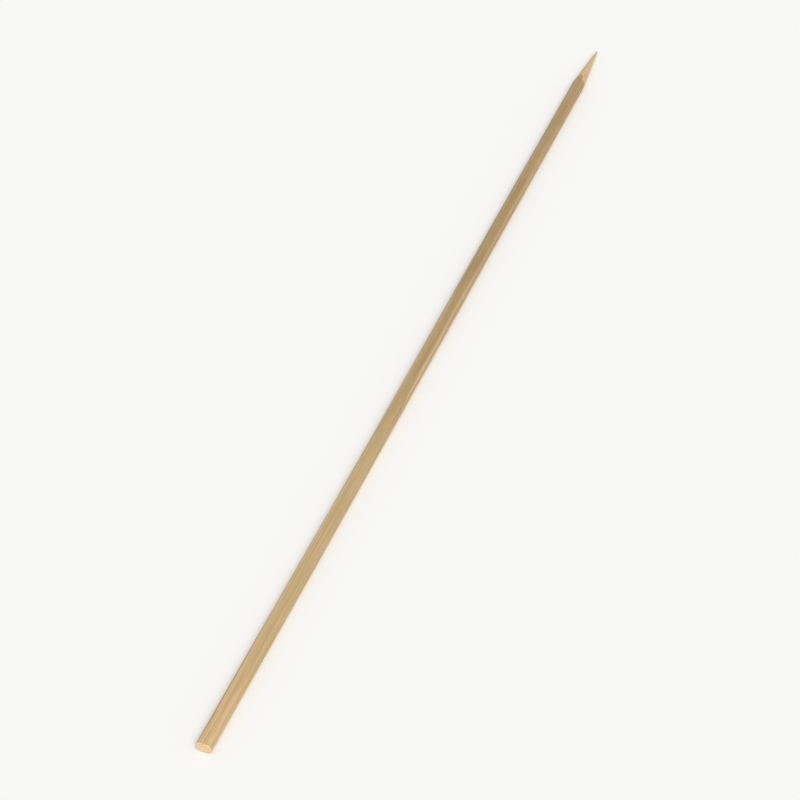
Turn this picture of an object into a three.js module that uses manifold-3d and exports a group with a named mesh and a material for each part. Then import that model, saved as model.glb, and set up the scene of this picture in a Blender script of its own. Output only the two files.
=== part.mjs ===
// A bamboo skewer: one slim rod, cut square at its blunt butt and sharpened to a point at its other end.
// It is milled to a round from a planed strip of the bamboo's wall, and the strip is a little thinner
// than the round, so the strip's two faces are left on the rod as long narrow flats. The green rind flat
// is on top, and the skewer lies on the flat of the pith side.
// Millimetres, +Z up. The skewer lies along X with its point towards +X. The origin is on the surface
// that it lies on, under the middle of its length.
import * as THREE from "three";
import { mergeVertices } from "three/addons/utils/BufferGeometryUtils.js";
import Module from "manifold-3d";

// Driving dimensions
const LENGTH = 200;
const BUTT_DIAMETER = 3.0; // of the round at the blunt end
const NECK_DIAMETER = 2.5; // of the round where the sharpening starts
const BUTT_ARRIS = 0.14; // width of the worn edge round the butt's face
const POINT_LENGTH = 12; // from the neck to the very tip
const TIP_RADIUS = 0.16; // of the small round nose that is left at the tip
const RIND_FLAT_DEPTH = 0.4; // how far the rind flat lies inside the butt's round
const PITH_FLAT_DEPTH = 0.32; // the same for the flat of the pith side, which the skewer lies on

// Fineness of the round surfaces
const TURN_STEPS = 72; // facets round the rod
const NOSE_STEPS = 4; // facets from the cone to the middle of the nose

// What follows from the driving dimensions
const BUTT_RADIUS = BUTT_DIAMETER / 2;
const NECK_RADIUS = NECK_DIAMETER / 2;
const NECK_AT = LENGTH - POINT_LENGTH; // from the butt's face, along the rod
const RIND_HEIGHT = BUTT_RADIUS - RIND_FLAT_DEPTH; // above the rod's axis
const AXIS_HEIGHT = BUTT_RADIUS - PITH_FLAT_DEPTH; // of the rod's axis above what the skewer lies on

const bambooMaterial = new THREE.MeshStandardMaterial({
  color: 0xdcbc8c,
  roughness: 0.62,
  metalness: 0,
});

const wasm = await Module();
wasm.setup();

// A closed three.js geometry as a solid that can be cut.
function solidOf(geometry) {
  const bare = geometry.clone();
  bare.deleteAttribute("normal");
  bare.deleteAttribute("uv");
  const merged = mergeVertices(bare);
  return new wasm.Manifold(
    new wasm.Mesh({
      numProp: 3,
      vertProperties: merged.attributes.position.array,
      triVerts: new Uint32Array(merged.index.array),
    }),
  );
}

// The solid back as a three.js geometry, with flat facets.
function geometryOf(solid) {
  const mesh = solid.getMesh();
  const shared = new THREE.BufferGeometry();
  shared.setAttribute("position", new THREE.BufferAttribute(mesh.vertProperties, 3));
  shared.setIndex(new THREE.BufferAttribute(mesh.triVerts, 1));
  const faceted = shared.toNonIndexed();
  faceted.computeVertexNormals();
  return faceted;
}

// The outline of the point from the neck to the middle of the tip, as (radius, distance from the butt):
// a straight cone that runs smoothly into a round nose.
function pointOutline() {
  const noseAt = LENGTH - TIP_RADIUS;
  const toNose = Math.hypot(noseAt - NECK_AT, NECK_RADIUS);
  const slope = Math.atan2(NECK_RADIUS, noseAt - NECK_AT) - Math.asin(TIP_RADIUS / toNose);
  const outline = [new THREE.Vector2(NECK_RADIUS, NECK_AT)];
  for (let step = 0; step <= NOSE_STEPS; step++) {
    const turn = slope + ((Math.PI / 2 - slope) * step) / NOSE_STEPS;
    const radius = step < NOSE_STEPS ? TIP_RADIUS * Math.cos(turn) : 0;
    outline.push(new THREE.Vector2(radius, noseAt + TIP_RADIUS * Math.sin(turn)));
  }
  return outline;
}

// The rod as milled and sharpened, round all over, with the middle of its butt at the origin.
function roundRod() {
  const outline = [
    new THREE.Vector2(0, 0),
    new THREE.Vector2(BUTT_RADIUS - BUTT_ARRIS, 0),
    new THREE.Vector2(BUTT_RADIUS, BUTT_ARRIS),
    ...pointOutline(),
  ];
  return new THREE.LatheGeometry(outline, TURN_STEPS).rotateZ(-Math.PI / 2);
}

// The planed strip that the rod is milled from, longer and wider than the rod, so that only its rind
// face and its pith face show on it.
function planedStrip() {
  const spare = BUTT_DIAMETER + NECK_DIAMETER;
  const thickness = RIND_HEIGHT + AXIS_HEIGHT;
  const strip = new THREE.BoxGeometry(LENGTH + 2 * spare, 2 * spare, thickness);
  return strip.translate(LENGTH / 2, 0, (RIND_HEIGHT - AXIS_HEIGHT) / 2);
}

const skewer = new THREE.Mesh(
  geometryOf(solidOf(roundRod()).intersect(solidOf(planedStrip()))),
  bambooMaterial,
);
skewer.name = "skewer";
skewer.position.set(-LENGTH / 2, 0, AXIS_HEIGHT);

const part = new THREE.Group();
part.add(skewer);

export default part;
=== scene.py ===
"""A bamboo skewer as Blender shows it: the fine skin of the rod with its fibres, its green rind flat, its
sawn butt and its sharpened point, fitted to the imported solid, on a pale floor under soft studio light.
Sizes are in millimetres unless a name says otherwise, and MM turns them into Blender's metres.
Distances along the skewer are from its butt, and heights are above the rod's axis."""
import math
from types import SimpleNamespace

import bpy
import numpy as np
from mathutils import Matrix, Vector


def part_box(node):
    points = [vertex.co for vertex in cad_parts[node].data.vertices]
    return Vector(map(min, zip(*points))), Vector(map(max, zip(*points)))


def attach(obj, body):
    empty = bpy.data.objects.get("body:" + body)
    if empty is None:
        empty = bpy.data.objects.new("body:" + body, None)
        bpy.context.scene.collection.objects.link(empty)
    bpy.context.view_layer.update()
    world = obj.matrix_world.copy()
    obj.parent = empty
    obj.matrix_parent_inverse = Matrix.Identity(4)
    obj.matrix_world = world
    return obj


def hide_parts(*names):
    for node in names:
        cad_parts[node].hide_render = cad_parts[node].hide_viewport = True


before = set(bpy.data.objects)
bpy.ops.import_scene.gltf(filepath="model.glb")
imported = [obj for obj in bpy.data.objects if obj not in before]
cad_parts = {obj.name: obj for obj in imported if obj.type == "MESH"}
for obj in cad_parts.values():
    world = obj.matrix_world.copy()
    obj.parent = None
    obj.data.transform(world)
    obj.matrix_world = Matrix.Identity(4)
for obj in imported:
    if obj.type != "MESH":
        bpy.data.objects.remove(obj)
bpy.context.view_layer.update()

MM = 0.001

# The solid, from its box and the sizes that its source sets
LOW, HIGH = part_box("skewer")
LENGTH = (HIGH.x - LOW.x) / MM
BUTT_RADIUS = (HIGH.y - LOW.y) / MM / 2
THICKNESS = (HIGH.z - LOW.z) / MM  # between the rind flat and the pith flat
NECK_RADIUS = 1.25  # where the sharpening starts
POINT_LENGTH = 12.0
TIP_RADIUS = 0.16
BUTT_ARRIS = 0.14
PITH_FLAT_DEPTH = 0.32
AXIS_HEIGHT = BUTT_RADIUS - PITH_FLAT_DEPTH  # of the rod's axis above the floor
RIND_HEIGHT = THICKNESS - AXIS_HEIGHT  # of the rind flat above the rod's axis
NECK_AT = LENGTH - POINT_LENGTH
NOSE_AT = LENGTH - TIP_RADIUS

# Fineness of the skin
TURN_STEPS = 150
ARRIS_STEPS = 7
ROD_STEPS = 500
POINT_STEPS = 62
NOSE_STEPS = 7
FACE_RINGS = 26
FACE_RING_POWER = 1.1  # above 1, the butt's rings crowd towards its rim
POINT_MARGIN = 1.5  # the finer rings of the point start this far before the neck
SHARP_ANGLE = 50.0  # edges that turn more than this, in degrees, are shaded sharp

# Form that milling, planing and sawing leave
EDGE_SOFTNESS = 0.14  # of the edges between the flats and the round
NECK_SOFTNESS = 0.06  # of the edge where the point begins
LOBE_HEIGHT = 0.016  # the rod isn't quite round
RIDGE_HEIGHT = 0.007  # of the fibres that stand proud
GROOVE_DEPTH = 0.04  # where a fibre has torn out
GROOVE_LEVEL = 1.5  # a fibre has torn out where the grooves' waves rise above this
SIDE_WANDER = 0.06  # the rod isn't quite straight
FACE_TILT = 0.03  # the saw cut isn't quite square: slope across the butt
FACE_ROUGHNESS = 0.014
FACE_FADE = 3 * BUTT_ARRIS  # the butt's relief fades out this far up the rod
SAW_MARK_HEIGHT = 0.006
POINT_FACET_HEIGHT = 0.016  # the sharpening leaves faint facets round the point
POINT_FACET_LIMIT = 0.1  # the facets' height is at most this share of the point's radius
POINT_SOFTNESS_LIMIT = 0.2  # the same for the softness of the edge where the point begins

# The waves that this form is a sum of: how many, their turns round the rod from the first number to
# just under the second, and their shortest and longest length along it
LOBE_WAVES = (6, (2, 5), (50, 190))
RIDGE_WAVES = (40, (26, 74), (14, 90))
GROOVE_WAVES = (26, (10, 44), (7, 46))
POINT_FACET_WAVES = (5, (5, 12), (9, 60))
WANDER_WAVES = (4, (1, 2), (110, 420))
PIT_WAVES = 30  # of the butt's face
PIT_PITCH = (0.16, 0.6)  # their shortest and longest
SAW_MARKS = ((0.35, 0.21), (0.3, 0.13))  # the lean and the pitch of each set
SKIN_SEED = 41
FACE_SEED = 7

# The map that the finish is drawn on: the skin unrolled in strips, and the butt's face above them
MAP_STRIPS = 3
MAP_STRIP_HEIGHT = 0.26
MAP_MARGIN = 0.01
MAP_FACE_SIZE = 0.17

# Studio
VIEW_AZIMUTH = -64.5  # of the photograph's viewpoint, in degrees, with 0 looking along +Y
VIEW_ELEVATION = 45.0
VIEW_ROLL = -4.5
VIEW_DISTANCE = 548.0
VIEW_AIM = (-11.5, 0.0, 1.2)
VIEW_LENS = 130.0
SENSOR = 36.0
CLIP_START_M = 0.01  # the camera sees nothing nearer than this
WORLD_SHARE = 0.55  # of the light on a level surface; the two shares add up to 1
KEY_SHARE = 0.45
KEY_FROM = (-0.53, -0.36, 0.77)  # the direction that the key light comes from
KEY_SOFTNESS = 45.0  # degrees that the key light is across
FLOOR_HALF_WIDTH_M = 3.0


def srgb(red, green, blue):
    """A colour of 0 to 255 a channel as the linear colour that shaders take."""
    shares = (channel / 255 for channel in (red, green, blue))
    linear = (s / 12.92 if s <= 0.04045 else ((s + 0.055) / 1.055) ** 2.4 for s in shares)
    return (*linear, 1.0)


# Colours of the bamboo
PALE = srgb(224, 194, 148)
STRAW = srgb(211, 178, 130)
TAN = srgb(186, 147, 98)
BUNDLE_BROWN = srgb(150, 109, 64)
OLIVE = srgb(158, 132, 88)
DARK_OLIVE = srgb(134, 108, 68)
SAGE = srgb(168, 149, 102)
PALE_SAGE = srgb(176, 153, 105)  # of the green near the butt
LIME = srgb(192, 165, 80)
CUT_PALE = srgb(238, 209, 164)
POINT_PALE = srgb(226, 196, 150)
FAR_SHADE = srgb(218, 213, 204)  # multiplied in towards the point

# Where the colours change along the rod: none of the change at the first distance from the butt, and
# all of it at the second
GREEN_BEGINS = (3.0, 26.0)
GREEN_NARROWS = (55.0, 100.0)  # from all the upper side to the rind flat
GREEN_DEEPENS = (40.0, 150.0)
GREEN_LEAVES_SIDE = (85.0, 150.0)  # the side towards +Y
GREEN_PALES = (115.0, 45.0)
LIME_NEAR_END = (6.0, 18.0)
LIME_FAR_END = (50.0, 30.0)
FAR_SHADE_BEGINS = (60.0, 140.0)

# The green near the butt, and the green further up
GREEN_LOWEST = (-1.2, 0.85)  # the height at which it starts
GREEN_FULL = (-0.4, 1.02)  # the height at which it is full
GREEN_STRENGTH = (0.6, 0.98)
GREEN_SIDE_END = (0.95, 0.5)  # how far towards +Y it weakens
GREEN_SIDE_LEAST = (0.3, 0.0)  # its share there

# Where else the green and the yellow-green are
GREEN_SIDE_START = -0.05  # where across the rod the green begins to weaken
GREEN_RAGGEDNESS = 0.3  # how much the edge of the green moves up and down with the streaks
LIME_HEIGHT = 0.25  # of the yellow-green streak
LIME_SPREAD = (0.6, 0.15)  # distances above or below that height, from none of it to all of it
LIME_SIDE = (-0.4, -1.0)  # places across the rod, from none of it to all of it

# Where the bamboo is cut open
BUTT_MASK = (0.26, 0.17)  # distances up the rod from none of the butt's look to all of it
CUT_INSIDE = (0.05, 0.11)  # how far inside the skin the point's look starts, as its edge is frayed
CUT_SOFTNESS = 0.015  # of the edge of that look
POINT_LEAD = 1.0  # the point's look may start this far before the neck

# How each pattern is scaled along the rod and across it: the smaller the number, the longer it runs
WANDER_STRETCH = (0.015, 0.2, 0.2)
FIBRE_STRETCH = (0.013, 1.0, 1.0)
LONG_FIBRE_STRETCH = (0.008, 1.0, 1.0)
BUNDLE_STRETCH = (0.007, 1.0, 1.0)
PATCH_STRETCH = (0.05, 0.4, 0.4)
SPECK_STRETCH = (0.35, 3.5, 3.5)
FRAY_STRETCH = (0.25, 7.0, 7.0)
SCRATCH_STRETCH = (9.0, 0.8, 0.8)
SAW_STRETCH = (0.0, 1.0, 7.0)

WANDER_REACH = (0.0, 0.3, 0.3)  # how widely the fibres wander
FINE_SHIFT = (5.0, 3.0, 1.0)  # moves the fine bundles' pattern off the coarse ones'
LINE_SHIFT = (2.0, 7.0, 4.0)  # moves the lines' pattern off the bands'

# Scale of the bundles of fibres, and the radii in cells at which one is full and at which it is gone
COARSE_DOTS = (2.3, 0.12, 0.34)
FINE_DOTS = (4.6, 0.15, 0.36)

# The heights between which the fine bundles grow stronger, and how strong they are at each
FINE_STRENGTH = (-0.4, 1.0, 0.3, 1.0)

# The scale and the detail of each noise, and its roughness if that isn't 0.5
BAND_NOISE = (1.3, 2.0)
STREAK_NOISE = (7.0, 4.0, 0.65)
LINE_NOISE = (6.0, 2.0, 0.6)
THREAD_NOISE = (24.0, 3.0, 0.6)

# The range of a noise over which a look comes in, and the look's shares at either end if those aren't
# none and all
LINE_RANGE = (0.56, 0.66)
SPECK_RANGE = (0.66, 0.76)
FRAY_RANGE = (0.3, 0.7)
STRAW_BANDS = (0.34, 0.64)
TAN_STREAKS = (0.46, 0.7, 0.0, 0.7)
TAN_THREADS = (0.48, 0.74, 0.0, 0.4)
SAGE_PATCHES = (0.4, 0.62)
OLIVE_THREADS = (0.5, 0.7, 0.0, 0.35)
GREEN_BANDS = (0.25, 0.7, 1.0, 0.72)
LIME_PATCHES = (0.38, 0.58, 0.15, 0.6)
ROUGHNESS_STREAKS = (0.3, 0.7, 0.5, 0.66)

# Shares of a colour where its pattern is full
TAN_LINES = 0.5
OLIVE_LINES = 0.4
COARSE_BROWN = 0.6
FINE_BROWN = 0.4
SPECK_BROWN = 0.3
CUT_BROWN = 0.4  # of the coarse bundles once more, where the bamboo is cut open
POINT_SHARE = 0.6
BUTT_SHARE = 0.72

# Shine, as changes of roughness
RIND_SHINE = 0.1  # the rind is waxy
CUT_DULLNESS = 0.2

# Relief that is too fine for the mesh
BUMP_HEIGHT = 0.03
STREAK_RELIEF = 0.6  # each as a share of that height
THREAD_RELIEF = 0.35
BUNDLE_RELIEF = 0.25
SCRATCH_RELIEF = 0.7
SAW_RELIEF = 0.9

# Colours of what it lies on
FLOOR = srgb(248, 248, 247)
BACKDROP = srgb(248, 248, 247)


# Form of the rod

def waves(rng, turn, along, count, turns, lengths):
    """A sum of random waves that closes on itself round the rod, mostly between -2 and 2."""
    total = np.zeros(np.broadcast_shapes(turn.shape, along.shape))
    for _ in range(count):
        round_rod = rng.integers(*turns)
        down_rod = 2 * math.pi / rng.uniform(*lengths) * rng.choice([-1, 1])
        total += np.cos(round_rod * turn + down_rod * along + rng.uniform(0, 2 * math.pi))
    return total / math.sqrt(count / 2)


def soft_min(a, b, softness):
    """The smaller of a and b, with the corner between them rounded off."""
    near = np.clip(0.5 + 0.5 * (b - a) / softness, 0, 1)
    return b + (a - b) * near - softness * near * (1 - near) / 2


def cone_slope():
    """The angle of the point's side, which runs smoothly into the round nose."""
    to_nose = math.hypot(NOSE_AT - NECK_AT, NECK_RADIUS)
    return math.atan2(NECK_RADIUS, NOSE_AT - NECK_AT) - math.asin(TIP_RADIUS / to_nose)


def point_radius(along):
    """The radius of the sharpening's cone, and of its nose, at each distance along the rod."""
    slope = cone_slope()
    cone = NECK_RADIUS - (along - NECK_AT) * math.tan(slope)
    nose = np.sqrt(np.clip(TIP_RADIUS**2 - (along - NOSE_AT) ** 2, 0, None))
    return np.where(along > NOSE_AT + TIP_RADIUS * math.sin(slope), nose, cone)


def stations():
    """Distances along the rod at which its skin has a ring of points."""
    arris = BUTT_ARRIS * (1 - np.cos(np.linspace(0, math.pi / 2, ARRIS_STEPS)))
    rod = np.linspace(BUTT_ARRIS, NECK_AT - POINT_MARGIN, ROD_STEPS)[1:]
    nose_from = NOSE_AT + TIP_RADIUS * math.sin(cone_slope())
    point = np.linspace(NECK_AT - POINT_MARGIN, nose_from, POINT_STEPS)[1:]
    turn = np.linspace(math.pi / 2 - cone_slope(), 0, NOSE_STEPS + 1)[1:-1]
    nose = NOSE_AT + TIP_RADIUS * np.cos(turn)
    return np.concatenate([arris, rod, point, nose])


def planed(radius, upward):
    """The radius cut back to the rind flat and the pith flat. upward is the cosine of the turn from
    the top."""
    steep = 0.1  # nearer level than this, a ray from the axis misses the flats
    far = 10 * BUTT_RADIUS
    rind = np.where(upward > steep, RIND_HEIGHT / np.clip(upward, steep, 1), far)
    pith = np.where(upward < -steep, AXIS_HEIGHT / np.clip(-upward, steep, 1), far)
    return soft_min(soft_min(radius, rind, EDGE_SOFTNESS), pith, EDGE_SOFTNESS)


def sharpened(radius, along, facets):
    """The radius cut back to the point's cone, with its faint facets."""
    point = point_radius(along)
    uneven = np.minimum(POINT_FACET_HEIGHT * facets, POINT_FACET_LIMIT * point)
    uneven = uneven * np.clip(point / NECK_RADIUS, 0, 1)
    above_zero = 1e-4
    softness = np.minimum(NECK_SOFTNESS, POINT_SOFTNESS_LIMIT * point + above_zero)
    return soft_min(radius, point + uneven, softness)


def skin_rings(rng):
    """Each ring's points as x, y and z in a grid of stations by turns. Turn 0 is up, on the rind flat."""
    along = stations()[:, None]
    turn = np.linspace(0, 2 * math.pi, TURN_STEPS, endpoint=False)[None, :]
    taper = BUTT_RADIUS + (NECK_RADIUS - BUTT_RADIUS) * along / NECK_AT
    radius = taper + LOBE_HEIGHT * waves(rng, turn, along, *LOBE_WAVES)
    radius = planed(radius, np.cos(turn))
    ridges = waves(rng, turn, along, *RIDGE_WAVES)
    grooves = np.clip(waves(rng, turn, along, *GROOVE_WAVES) - GROOVE_LEVEL, 0, 1)
    radius = radius + RIDGE_HEIGHT * (ridges - 1) - GROOVE_DEPTH * grooves
    worn = np.clip(BUTT_ARRIS - along, 0, None)
    radius = radius - (BUTT_ARRIS - np.sqrt(BUTT_ARRIS**2 - worn**2))
    radius = sharpened(radius, along, waves(rng, turn, along, *POINT_FACET_WAVES))
    swing = waves(rng, np.zeros(1), along, *WANDER_WAVES)
    y = radius * np.sin(turn) + SIDE_WANDER * (swing - swing[0])
    z = np.maximum(radius * np.cos(turn), -AXIS_HEIGHT)
    return np.stack([np.broadcast_to(along, y.shape), y, z], axis=-1)


def face_relief(rng, y, z):
    """How far the sawn butt stands back at each place: pits and stubs of fibres, and the saw's marks."""
    total = np.zeros(y.shape)
    for _ in range(PIT_WAVES):
        heading = rng.uniform(0, 2 * math.pi)
        pitch = rng.uniform(*PIT_PITCH)
        across = y * math.cos(heading) + z * math.sin(heading)
        total += np.cos(2 * math.pi * across / pitch + rng.uniform(0, 2 * math.pi))
    marks = sum(np.cos(2 * math.pi * (z + lean * y) / pitch) for lean, pitch in SAW_MARKS)
    slope = FACE_TILT * (y + BUTT_RADIUS)
    return FACE_ROUGHNESS * total / math.sqrt(PIT_WAVES / 2) + SAW_MARK_HEIGHT * marks + slope


def butt_rings(rim):
    """Rings from inside the rim to near the middle of the butt's face, as a grid like the skin's."""
    share = (1 - np.linspace(0, 1, FACE_RINGS + 1)[1:-1] ** FACE_RING_POWER)[:, None]
    middle = rim.mean(axis=0)
    y = middle[1] + (rim[None, :, 1] - middle[1]) * share
    z = middle[2] + (rim[None, :, 2] - middle[2]) * share
    return np.stack([face_relief(np.random.default_rng(FACE_SEED), y, z), y, z], axis=-1)


# The skewer's mesh and its map

def after(step):
    """The next step round the rod."""
    return (step + 1) % TURN_STEPS


def ring_faces(rings):
    """Four-cornered faces between rings that follow each other, facing out for rings that go up the rod."""
    faces = []
    for ring in range(rings - 1):
        here = ring * TURN_STEPS
        above = here + TURN_STEPS
        for step in range(TURN_STEPS):
            faces.append((here + step, here + after(step), above + after(step), above + step))
    return faces


def strip_places(skin, tip):
    """Where each ring's faces start and end along their strip of the map, and which strip that is."""
    steps = np.linalg.norm(np.diff(skin, axis=0), axis=2).mean(axis=1)
    last_step = np.linalg.norm(skin[-1] - tip, axis=1).mean()
    run = np.concatenate([[0], np.cumsum(steps), [steps.sum() + last_step]])
    cuts = np.searchsorted(run, run[-1] * np.arange(MAP_STRIPS + 1) / MAP_STRIPS)
    strip = np.searchsorted(cuts, np.arange(len(skin)), side="right") - 1
    start = run[cuts[strip]]
    width = (run[cuts[strip + 1]] - start) / (1 - 2 * MAP_MARGIN)
    return MAP_MARGIN + (run[:-1] - start) / width, MAP_MARGIN + (run[1:] - start) / width, strip


def round_place(strip, step):
    """How high up the map a step round the rod is. The strip's seam is on the pith flat, underneath."""
    share = ((step + TURN_STEPS // 2) % TURN_STEPS) / TURN_STEPS
    return strip * (MAP_STRIP_HEIGHT + MAP_MARGIN) + MAP_MARGIN + share * MAP_STRIP_HEIGHT


def face_place(points, rim):
    """Places on the map for points of the butt's face, which is laid out flat in its own square."""
    flat = (points[..., 1:] - rim[:, 1:].min(axis=0)) / (2 * BUTT_RADIUS)
    corner = (MAP_MARGIN, MAP_MARGIN + MAP_STRIPS * (MAP_STRIP_HEIGHT + MAP_MARGIN))
    return flat * MAP_FACE_SIZE + corner


def map_corners(rings, faces_of_butt, middle, tip):
    """The map place of every corner of every face, in the order of the mesh's faces."""
    skin = rings[faces_of_butt:]
    rim = skin[0]
    on_face = face_place(rings[: faces_of_butt + 1], rim)
    start, end, strips = strip_places(skin, tip)
    tall = MAP_STRIP_HEIGHT / TURN_STEPS
    corners = []
    for ring in range(faces_of_butt):
        for step in range(TURN_STEPS):
            corners += [on_face[ring, step], on_face[ring, after(step)]]
            corners += [on_face[ring + 1, after(step)], on_face[ring + 1, step]]
    for u, u_after, strip in zip(start[:-1], end[:-1], strips[:-1]):
        for step in range(TURN_STEPS):
            v = round_place(strip, step)
            corners += [(u, v), (u, v + tall), (u_after, v + tall), (u_after, v)]
    for step in range(TURN_STEPS):
        corners += [face_place(middle, rim), on_face[0, after(step)], on_face[0, step]]
        v = round_place(strips[-1], step)
        corners += [(start[-1], v), (start[-1], v + tall), (end[-1], v + tall / 2)]
    return np.array(corners)


def skewer_mesh():
    """The skin of the whole skewer as one closed mesh in metres."""
    skin = skin_rings(np.random.default_rng(SKIN_SEED))
    face = butt_rings(skin[0])
    rim_relief = face_relief(np.random.default_rng(FACE_SEED), skin[0, :, 1], skin[0, :, 2])
    fade = np.clip(1 - skin[:, :1, 0] / FACE_FADE, 0, 1)
    skin[..., 0] += rim_relief[None, :] * fade
    rings = np.concatenate([face[::-1], skin])
    middle = rings[0].mean(axis=0)
    tip = np.array([LENGTH, skin[-1, :, 1].mean(), skin[-1, :, 2].mean()])
    faces = ring_faces(len(rings))
    middle_index = len(rings) * TURN_STEPS
    last = middle_index - TURN_STEPS
    for step in range(TURN_STEPS):
        faces.append((middle_index, after(step), step))
        faces.append((last + step, last + after(step), middle_index + 1))
    points = np.concatenate([rings.reshape(-1, 3), middle[None], tip[None]])
    points = (points + (-LENGTH / 2, 0, AXIS_HEIGHT)) * MM
    mesh = bpy.data.meshes.new("skewer_skin")
    mesh.from_pydata(points.tolist(), [], faces)
    bake_map = mesh.uv_layers.new(name="OFBake")
    bake_map.data.foreach_set("uv", map_corners(rings, len(face), middle, tip).ravel())
    mesh.polygons.foreach_set("use_smooth", np.ones(len(mesh.polygons), bool))
    mesh.set_sharp_from_angle(angle=math.radians(SHARP_ANGLE))
    mesh.update()
    return mesh


# Material

class Nodes:
    """Makes and links the shader nodes of one material or world."""

    def __init__(self, tree):
        self.tree = tree
        tree.nodes.clear()

    def feed(self, socket, value):
        """Sets an input to a number or colour, or links another node's output to it."""
        if isinstance(value, bpy.types.NodeSocket):
            self.tree.links.new(value, socket)
        else:
            socket.default_value = value

    def make(self, kind, settings=None, **inputs):
        """A node with these settings. An input's name has _ for each space."""
        made = self.tree.nodes.new("ShaderNode" + kind)
        for name, value in (settings or {}).items():
            setattr(made, name, value)
        for name, value in inputs.items():
            self.feed(made.inputs[name.replace("_", " ")], value)
        return made

    def calculate(self, operation, *values, kind="Math"):
        """The result of a Math or Vector Math node."""
        made = self.make(kind, {"operation": operation})
        for socket, value in zip(made.inputs, values):
            self.feed(socket, value)
        return made.outputs[0]

    def add(self, a, b):
        return self.calculate("ADD", a, b)

    def subtract(self, a, b):
        return self.calculate("SUBTRACT", a, b)

    def times(self, *values):
        product = values[0]
        for value in values[1:]:
            product = self.calculate("MULTIPLY", product, value)
        return product

    def largest(self, *values):
        most = values[0]
        for value in values[1:]:
            most = self.calculate("MAXIMUM", most, value)
        return most

    def stretch(self, place, by):
        return self.calculate("MULTIPLY", place, by, kind="VectorMath")

    def shift(self, place, by):
        return self.calculate("ADD", place, by, kind="VectorMath")

    def rise(self, value, low, high, bottom=0.0, top=1.0):
        """bottom where value is at low and top where it is at high, smoothly between them."""
        made = self.make(
            "MapRange", {"interpolation_type": "SMOOTHSTEP"},
            Value=value, From_Min=low, From_Max=high, To_Min=bottom, To_Max=top,
        )
        return made.outputs[0]

    def blend(self, share, under, over, mode="MIX"):
        """under with share of over mixed in."""
        made = self.make("Mix", {"data_type": "RGBA", "blend_type": mode})
        for index, value in ((0, share), (6, under), (7, over)):
            self.feed(made.inputs[index], value)
        return made.outputs[2]

    def noise(self, place, scale, detail=2.0, roughness=0.5):
        """Soft noise between 0 and 1, mostly near 0.5."""
        made = self.make("TexNoise", Vector=place, Scale=scale, Detail=detail, Roughness=roughness)
        return made.outputs[0]

    def dots(self, place, scale, thin, thick):
        """1 in the middle of each cell and 0 between them. thin and thick are radii in cells."""
        cells = self.make("TexVoronoi", Vector=place, Scale=scale, Randomness=0.9)
        return self.rise(cells.outputs["Distance"], thick, thin)


def find_places(n):
    """Where a shaded point is on the skewer, and masks of the butt, the point and all that is cut open."""
    at = SimpleNamespace()
    metres = n.make("TexCoord").outputs["Object"]
    at.place = n.stretch(metres, (1 / MM,) * 3)
    apart = n.make("SeparateXYZ", Vector=at.place).outputs
    at.along = n.add(apart["X"], LENGTH / 2)
    at.across = apart["Y"]
    at.height = n.subtract(apart["Z"], AXIS_HEIGHT)
    square = n.add(n.times(at.across, at.across), n.times(at.height, at.height))
    from_axis = n.calculate("SQRT", square)
    at.butt = n.rise(at.along, *BUTT_MASK)
    frayed = n.noise(n.stretch(at.place, FRAY_STRETCH), 1.0)
    edge = n.rise(frayed, *FRAY_RANGE, *CUT_INSIDE)
    outward = n.add(from_axis, edge)
    upward = n.add(at.height, edge)
    downward = n.subtract(edge, at.height)
    on_round = n.rise(outward, NECK_RADIUS - CUT_SOFTNESS, NECK_RADIUS + CUT_SOFTNESS)
    on_rind = n.rise(upward, RIND_HEIGHT - CUT_SOFTNESS, RIND_HEIGHT + CUT_SOFTNESS)
    on_pith = n.rise(downward, AXIS_HEIGHT - CUT_SOFTNESS, AXIS_HEIGHT + CUT_SOFTNESS)
    at.skin = n.largest(on_round, on_rind, on_pith)
    at.point = n.times(n.subtract(1.0, at.skin), n.rise(at.along, NECK_AT - POINT_LEAD, NECK_AT))
    return at


def find_grain(n, at):
    """The bamboo's fibres as a solid pattern, so that sides, butt and point cut through the same ones."""
    grain = SimpleNamespace()
    slow = n.stretch(at.place, WANDER_STRETCH)
    wander = n.make("TexNoise", Vector=slow, Scale=1.0, Detail=1.0).outputs["Color"]
    wander = n.stretch(n.shift(wander, (-0.5, -0.5, -0.5)), WANDER_REACH)
    wandering = n.shift(at.place, wander)
    fibres = n.stretch(wandering, FIBRE_STRETCH)
    long_fibres = n.stretch(wandering, LONG_FIBRE_STRETCH)
    grain.coarse = n.dots(n.stretch(wandering, BUNDLE_STRETCH), *COARSE_DOTS)
    fine = n.dots(n.shift(fibres, FINE_SHIFT), *FINE_DOTS)
    grain.fine = n.times(fine, n.rise(at.height, *FINE_STRENGTH))
    grain.band = n.noise(long_fibres, *BAND_NOISE)
    grain.streak = n.noise(fibres, *STREAK_NOISE)
    lines = n.noise(n.shift(long_fibres, LINE_SHIFT), *LINE_NOISE)
    grain.line = n.rise(lines, *LINE_RANGE)
    grain.thread = n.noise(fibres, *THREAD_NOISE)
    grain.patch = n.noise(n.stretch(at.place, PATCH_STRETCH), 1.0)
    specks = n.noise(n.stretch(wandering, SPECK_STRETCH), 1.0, 3.0)
    grain.speck = n.rise(specks, *SPECK_RANGE)
    return grain


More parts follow.
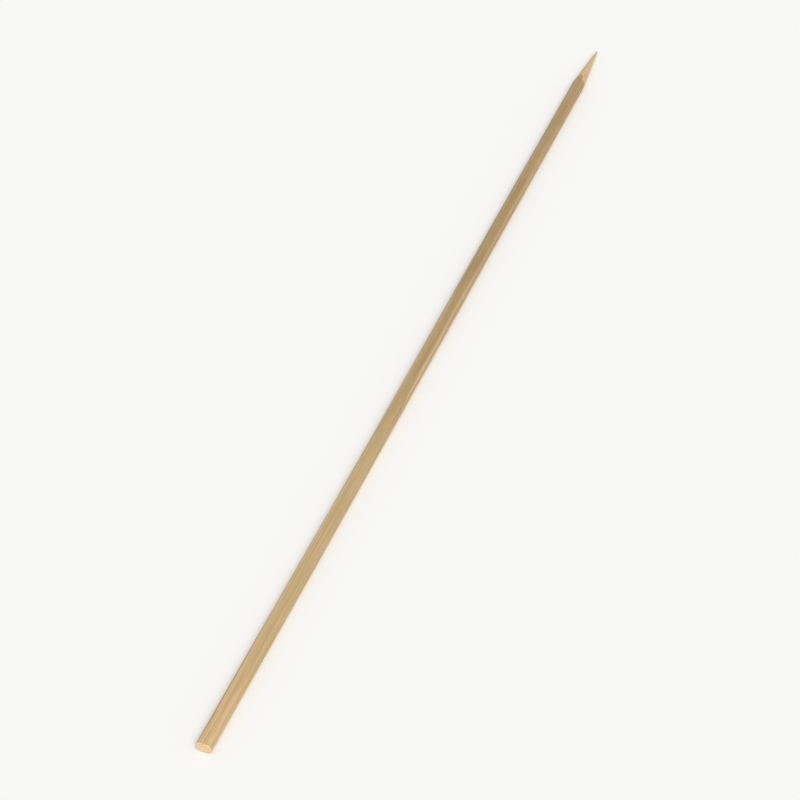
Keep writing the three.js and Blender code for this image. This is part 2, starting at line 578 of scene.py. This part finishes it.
def wood_colour(n, at, grain):
    """Milled bamboo without its green: bands of tone, streaks, and the darker bundles of fibres."""
    colour = n.blend(n.rise(grain.band, *STRAW_BANDS), PALE, STRAW)
    colour = n.blend(n.rise(grain.streak, *TAN_STREAKS), colour, TAN)
    colour = n.blend(n.rise(grain.thread, *TAN_THREADS), colour, TAN)
    colour = n.blend(n.times(grain.line, TAN_LINES), colour, TAN)
    colour = n.blend(n.times(grain.coarse, COARSE_BROWN), colour, BUNDLE_BROWN)
    colour = n.blend(n.times(grain.fine, FINE_BROWN), colour, BUNDLE_BROWN)
    colour = n.blend(n.times(grain.speck, SPECK_BROWN), colour, BUNDLE_BROWN)
    return n.blend(n.rise(at.along, *FAR_SHADE_BEGINS), colour, FAR_SHADE, "MULTIPLY")


def green_share(n, at, grain):
    """How green the skin is. Green covers all the upper side near the butt, but only the rind flat further
    up, where it is stronger. It is weaker towards +Y, more so further up, and fades out at the butt."""
    height = n.add(at.height, n.times(n.subtract(grain.streak, 0.5), GREEN_RAGGEDNESS))
    lowest = n.rise(at.along, *GREEN_NARROWS, *GREEN_LOWEST)
    full = n.rise(at.along, *GREEN_NARROWS, *GREEN_FULL)
    strength = n.rise(at.along, *GREEN_DEEPENS, *GREEN_STRENGTH)
    uneven = n.rise(grain.band, *GREEN_BANDS)
    side_end = n.rise(at.along, *GREEN_LEAVES_SIDE, *GREEN_SIDE_END)
    side_least = n.rise(at.along, *GREEN_LEAVES_SIDE, *GREEN_SIDE_LEAST)
    aside = n.rise(at.across, GREEN_SIDE_START, side_end, 1.0, side_least)
    begun = n.rise(at.along, *GREEN_BEGINS)
    return n.times(n.rise(height, lowest, full), strength, uneven, aside, begun)


def lime_share(n, at, grain):
    """How yellow-green the skin is: a broken streak low on the side that faces -Y, near the butt."""
    off = n.calculate("ABSOLUTE", n.subtract(at.height, LIME_HEIGHT))
    side = n.rise(at.across, *LIME_SIDE)
    stretch = n.times(n.rise(at.along, *LIME_NEAR_END), n.rise(at.along, *LIME_FAR_END))
    return n.times(n.rise(off, *LIME_SPREAD), side, stretch, n.rise(grain.patch, *LIME_PATCHES))


def bamboo_relief(n, at, grain):
    """Relief too fine for the mesh: fibres all over, grinding marks on the point, the saw's on the butt."""
    scratches = n.noise(n.stretch(at.place, SCRATCH_STRETCH), 1.0, 3.0)
    saw = n.noise(n.stretch(at.place, SAW_STRETCH), 1.0, 3.0)
    relief = n.add(n.times(grain.streak, STREAK_RELIEF), n.times(grain.thread, THREAD_RELIEF))
    relief = n.subtract(relief, n.times(grain.coarse, BUNDLE_RELIEF))
    relief = n.add(relief, n.times(scratches, at.point, SCRATCH_RELIEF))
    return n.add(relief, n.times(saw, at.butt, SAW_RELIEF))


def bamboo_material():
    material = bpy.data.materials.new("bamboo")
    material.use_nodes = True
    n = Nodes(material.node_tree)
    at = find_places(n)
    grain = find_grain(n, at)
    colour = wood_colour(n, at, grain)
    green = n.times(green_share(n, at, grain), at.skin)
    green_colour = n.blend(n.rise(grain.patch, *SAGE_PATCHES), OLIVE, SAGE)
    green_colour = n.blend(n.rise(at.along, *GREEN_PALES), green_colour, PALE_SAGE)
    green_colour = n.blend(n.rise(grain.thread, *OLIVE_THREADS), green_colour, DARK_OLIVE)
    green_colour = n.blend(n.times(grain.line, OLIVE_LINES), green_colour, DARK_OLIVE)
    colour = n.blend(green, colour, green_colour)
    colour = n.blend(n.times(lime_share(n, at, grain), at.skin), colour, LIME)
    colour = n.blend(n.times(at.point, POINT_SHARE), colour, POINT_PALE)
    colour = n.blend(n.times(at.butt, BUTT_SHARE), colour, CUT_PALE)
    cut = n.largest(at.butt, at.point)
    colour = n.blend(n.times(grain.coarse, cut, CUT_BROWN), colour, BUNDLE_BROWN)
    roughness = n.rise(grain.streak, *ROUGHNESS_STREAKS)
    roughness = n.subtract(roughness, n.times(green, RIND_SHINE))
    roughness = n.add(roughness, n.times(cut, CUT_DULLNESS))
    bump = n.make("Bump", Strength=1.0, Distance=BUMP_HEIGHT * MM, Height=bamboo_relief(n, at, grain))
    shader = n.make("BsdfPrincipled", Base_Color=colour, Roughness=roughness, Normal=bump.outputs[0])
    n.make("OutputMaterial", Surface=shader.outputs[0])
    return material


# Studio

def plain_material(name, colour):
    """A matt material of one colour."""
    material = bpy.data.materials.new(name)
    material.use_nodes = True
    n = Nodes(material.node_tree)
    shader = n.make("BsdfPrincipled", Base_Color=colour, Roughness=1.0, Specular_IOR_Level=0.0)
    n.make("OutputMaterial", Surface=shader.outputs[0])
    return material


def make_floor():
    half = FLOOR_HALF_WIDTH_M
    mesh = bpy.data.meshes.new("floor")
    corners = [(-half, -half, 0), (half, -half, 0), (half, half, 0), (-half, half, 0)]
    mesh.from_pydata(corners, [], [(0, 1, 2, 3)])
    floor = bpy.data.objects.new("floor", mesh)
    bpy.context.scene.collection.objects.link(floor)
    floor.data.materials.append(plain_material("floor", FLOOR))


def make_key_light():
    """A wide soft light that gives a level surface its share of a white surface's full brightness."""
    towards = Vector(KEY_FROM).normalized()
    data = bpy.data.lights.new("key_light", "SUN")
    data.angle = math.radians(KEY_SOFTNESS)
    data.energy = math.pi * KEY_SHARE / towards.z
    light = bpy.data.objects.new("key_light", data)
    light.rotation_euler = towards.to_track_quat("Z", "Y").to_euler()
    bpy.context.scene.collection.objects.link(light)


def make_world():
    """Even light from all round, and a pale backdrop that only the camera and reflections see."""
    world = bpy.data.worlds.new("studio")
    bpy.context.scene.world = world
    world.use_nodes = True
    n = Nodes(world.node_tree)
    rays = n.make("LightPath").outputs
    shown = n.largest(rays["Is Camera Ray"], rays["Is Glossy Ray"], rays["Is Transmission Ray"])
    light = n.make("Background", Color=(1.0, 1.0, 1.0, 1.0), Strength=WORLD_SHARE)
    drop = n.make("Background", Color=BACKDROP, Strength=1.0)
    mixed = n.make("MixShader", Fac=shown)
    n.feed(mixed.inputs[1], light.outputs[0])
    n.feed(mixed.inputs[2], drop.outputs[0])
    n.make("OutputWorld", Surface=mixed.outputs[0])


def make_camera():
    data = bpy.data.cameras.new("camera")
    data.lens = VIEW_LENS
    data.sensor_width = SENSOR
    data.clip_start = CLIP_START_M
    azimuth, elevation = math.radians(VIEW_AZIMUTH), math.radians(VIEW_ELEVATION)
    back = Vector((
        math.sin(azimuth) * math.cos(elevation),
        -math.cos(azimuth) * math.cos(elevation),
        math.sin(elevation),
    ))
    camera = bpy.data.objects.new("camera", data)
    place = (Vector(VIEW_AIM) + back * VIEW_DISTANCE) * MM
    level = (-back).to_track_quat("-Z", "Y").to_matrix().to_4x4()
    rolled = level @ Matrix.Rotation(math.radians(VIEW_ROLL), 4, "Z")
    camera.matrix_world = Matrix.Translation(place) @ rolled
    bpy.context.scene.collection.objects.link(camera)
    bpy.context.scene.camera = camera


skewer = bpy.data.objects.new("bamboo_skewer", skewer_mesh())
bpy.context.scene.collection.objects.link(skewer)
skewer.data.materials.append(bamboo_material())
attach(skewer, "root")
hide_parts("skewer")

make_floor()
make_key_light()
make_world()
make_camera()
bpy.context.scene.view_settings.view_transform = "Standard"
